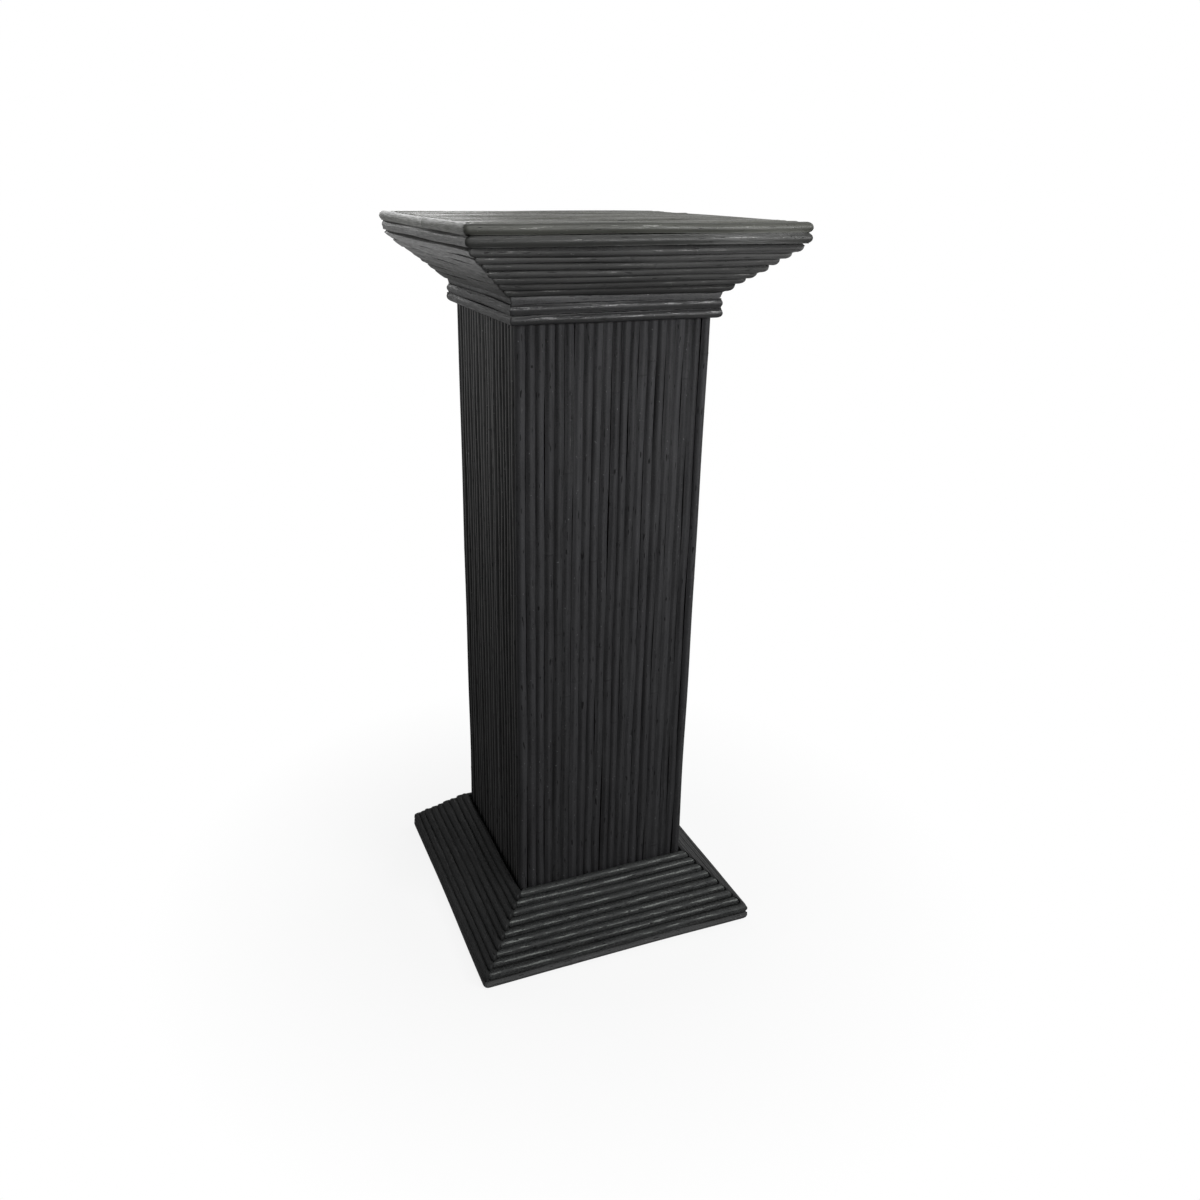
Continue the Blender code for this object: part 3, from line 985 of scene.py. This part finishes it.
def timber_material(name, timber):
    """Bare or blackened board: long fibres and broad bands along one axis of the plinth."""
    material, tree, shader = new_material(name)
    place = add_node(tree, "ShaderNodeTexCoord").outputs["Object"]
    fibre = timber_noise(tree, place, timber.along, FIBRE_SCALES, FIBRE_DETAIL)
    band = timber_noise(tree, place, timber.along, BAND_SCALES, BAND_DETAIL)
    fibres = combined(tree, "MULTIPLY", fibre, FIBRE_SHARE)
    tone = combined(tree, "ADD", fibres, combined(tree, "MULTIPLY", band, BAND_SHARE))
    colour = mixed(tree, ranged(tree, tone, *TIMBER_EDGE), timber.dark, timber.light)
    limits = (timber.roughness + TIMBER_ROUGH_SPREAD, timber.roughness - TIMBER_ROUGH_SPREAD)
    feed(tree, shader.inputs["Base Color"], colour)
    feed(tree, shader.inputs["Roughness"], ranged(tree, tone, *TIMBER_ROUGH_EDGE, *limits))
    bumped(tree, shader, fibre, *TIMBER_BUMP)
    return material


def dress_boards():
    """Gives each solid that stays its timber."""
    for finish, timber in TIMBERS.items():
        material = timber_material(finish, timber)
        for name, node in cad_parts.items():
            if name.startswith(timber.boards):
                node.data.materials.clear()
                node.data.materials.append(material)


def build_camera():
    yaw, pitch, roll = (math.radians(angle) for angle in (CAMERA_YAW, CAMERA_PITCH, CAMERA_ROLL))
    ahead = Vector((math.sin(yaw) * math.cos(pitch), math.cos(yaw) * math.cos(pitch), -math.sin(pitch)))
    right = Vector((math.cos(yaw), -math.sin(yaw), 0.0))
    upward = right.cross(ahead)
    turned_right = math.cos(roll) * right + math.sin(roll) * upward
    turned_up = math.cos(roll) * upward - math.sin(roll) * right
    camera = bpy.data.objects.new("camera", bpy.data.cameras.new("camera"))
    axes = Matrix((turned_right, turned_up, -ahead)).transposed()
    camera.matrix_world = Matrix.Translation(CAMERA_PLACE) @ axes.to_4x4()
    camera.data.sensor_width = SENSOR_WIDTH
    camera.data.lens = FOCAL_PIXELS / PHOTO_WIDTH * SENSOR_WIDTH
    camera.data.shift_x = 0.5 - PHOTO_CENTRE[0] / PHOTO_WIDTH
    camera.data.shift_y = PHOTO_CENTRE[1] / PHOTO_WIDTH - 0.5
    camera.data.clip_start = CLIP_START
    bpy.context.scene.collection.objects.link(camera)
    bpy.context.scene.camera = camera


def floor_material():
    """A plain pale floor that keeps the shadow near the plinth and is white further out."""
    material, tree, shader = new_material("pale_floor")
    shader.inputs["Base Color"].default_value = FLOOR_COLOUR
    shader.inputs["Roughness"].default_value = FLOOR_ROUGHNESS
    white = add_node(tree, "ShaderNodeEmission")
    white.inputs["Strength"].default_value = WHITE_STRENGTH
    path = add_node(tree, "ShaderNodeLightPath")
    place = add_node(tree, "ShaderNodeTexCoord").outputs["Object"]
    length = add_node(tree, "ShaderNodeVectorMath", operation="LENGTH")
    feed(tree, length.inputs[0], place)
    distance = length.outputs["Value"]
    seen = combined(tree, "MAXIMUM", path.outputs["Is Camera Ray"], path.outputs["Is Transmission Ray"])
    seen = combined(tree, "MULTIPLY", seen, ranged(tree, distance, *SHADOW_EDGE, NEAR_WHITE, 1.0))
    reflected = ranged(tree, distance, *REFLECTED_EDGE)
    reflected = combined(tree, "MULTIPLY", path.outputs["Is Glossy Ray"], reflected)
    blend = add_node(tree, "ShaderNodeMixShader")
    feed(tree, blend.inputs[0], combined(tree, "MAXIMUM", seen, reflected))
    feed(tree, blend.inputs[1], shader.outputs[0])
    feed(tree, blend.inputs[2], white.outputs[0])
    feed(tree, tree.nodes["Material Output"].inputs["Surface"], blend.outputs[0])
    return material


def build_floor():
    corners = [(x * FLOOR_REACH, y * FLOOR_REACH, 0.0) for x, y in ((-1, -1), (1, -1), (1, 1), (-1, 1))]
    mesh = bpy.data.meshes.new("floor")
    mesh.from_pydata(corners, [], [(0, 1, 2, 3)])
    mesh.materials.append(floor_material())
    floor = bpy.data.objects.new("floor", mesh)
    floor.location.z = -FLOOR_DROP
    bpy.context.scene.collection.objects.link(floor)


def build_world():
    """Soft even light, with a white background for what the camera and reflections see."""
    world = bpy.data.worlds.new("studio")
    bpy.context.scene.world = world
    world.use_nodes = True
    tree = world.node_tree
    light = tree.nodes["Background"]
    light.inputs["Color"].default_value = SKY_COLOUR
    light.inputs["Strength"].default_value = SKY_STRENGTH
    white = add_node(tree, "ShaderNodeBackground")
    white.inputs["Color"].default_value = WHITE
    white.inputs["Strength"].default_value = WHITE_STRENGTH
    path = add_node(tree, "ShaderNodeLightPath")
    seen = combined(tree, "MAXIMUM", path.outputs["Is Camera Ray"], path.outputs["Is Glossy Ray"])
    seen = combined(tree, "MAXIMUM", seen, path.outputs["Is Transmission Ray"])
    blend = add_node(tree, "ShaderNodeMixShader")
    feed(tree, blend.inputs[0], seen)
    feed(tree, blend.inputs[1], light.outputs[0])
    feed(tree, blend.inputs[2], white.outputs[0])
    feed(tree, tree.nodes["World Output"].inputs["Surface"], blend.outputs[0])


def build_lights():
    for name, softbox in SOFTBOXES.items():
        lamp = bpy.data.lights.new(name, "AREA")
        lamp.shape = "DISK"
        lamp.size = softbox.size
        lamp.energy = softbox.power
        lamp.spread = math.radians(softbox.spread)
        box = bpy.data.objects.new(name, lamp)
        box.location = softbox.place
        aim = Vector(softbox.aim) - Vector(softbox.place)
        box.rotation_euler = aim.to_track_quat("-Z", "Y").to_euler()
        bpy.context.scene.collection.objects.link(box)


def main():
    paints = {name: painted_reed(f"black_paint_{name}", paint) for name, paint in PAINTS.items()}
    finishes = {row: by_pairs(*(paints[name] for name in names)) for row, names in FINISHES.items()}
    build_shaft(finishes["shaft_reeds"])
    for flare in (BASE, CAPITAL):
        build_flare(flare, finishes[flare.node])
    for bead in BEADS:
        build_bead(bead, finishes[bead.node])
    build_top(paints["top"])
    dress_boards()
    build_camera()
    build_floor()
    build_world()
    build_lights()
    bpy.context.scene.view_settings.view_transform = "Standard"


main()
